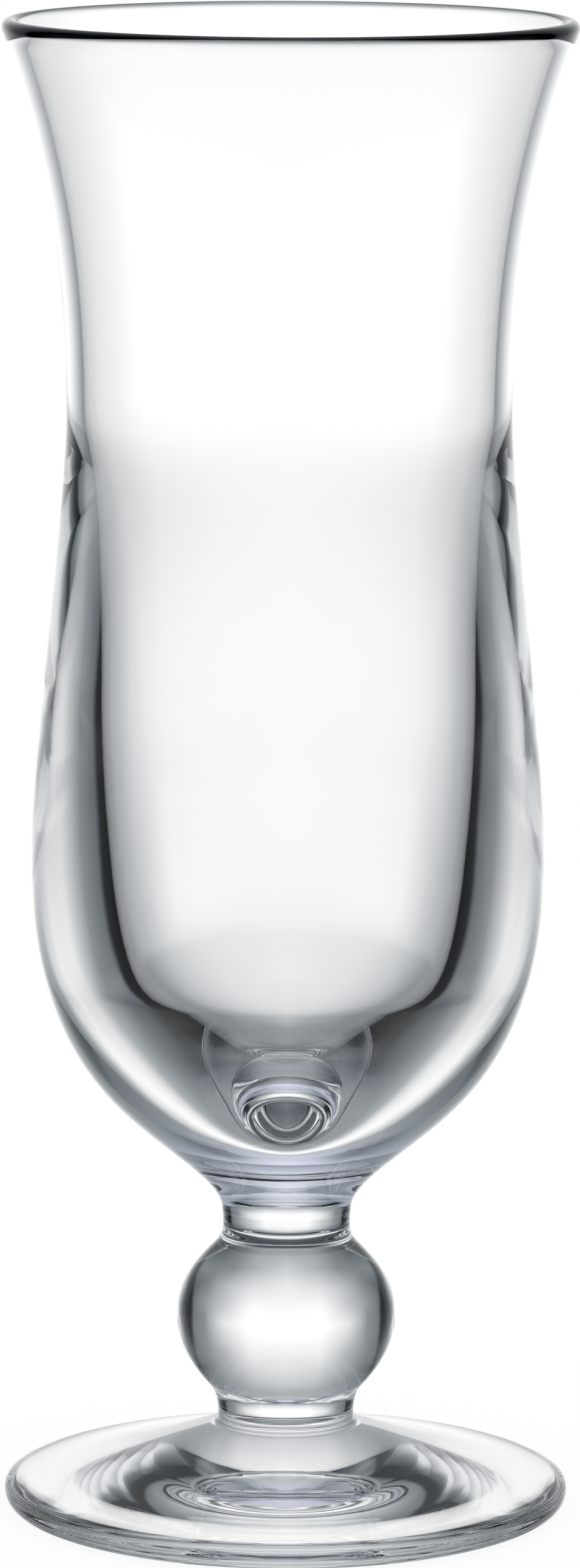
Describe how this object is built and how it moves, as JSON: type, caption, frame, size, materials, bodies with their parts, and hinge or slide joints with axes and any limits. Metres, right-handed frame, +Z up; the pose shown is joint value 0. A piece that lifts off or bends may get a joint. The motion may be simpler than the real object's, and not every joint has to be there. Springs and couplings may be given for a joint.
{
  "type": "hurricane glass",
  "caption": "Tall clear drinking glass with a flared lip, a waisted thick-walled bowl, a solid ball stem and a round foot, in one piece.",
  "frame": {"origin": "centre of the ring that the foot stands on, at table height", "axes": "+Z up the glass from the foot to the lip; +X and +Y are any two level directions, because the glass is turned"},
  "size_m": [0.08, 0.08, 0.2104],
  "materials": {
    "clear_glass": "clear and colourless, fire-polished smooth"
  },
  "bodies": {
    "root": {"glass": "clear_glass"}
  },
  "joints": []
}
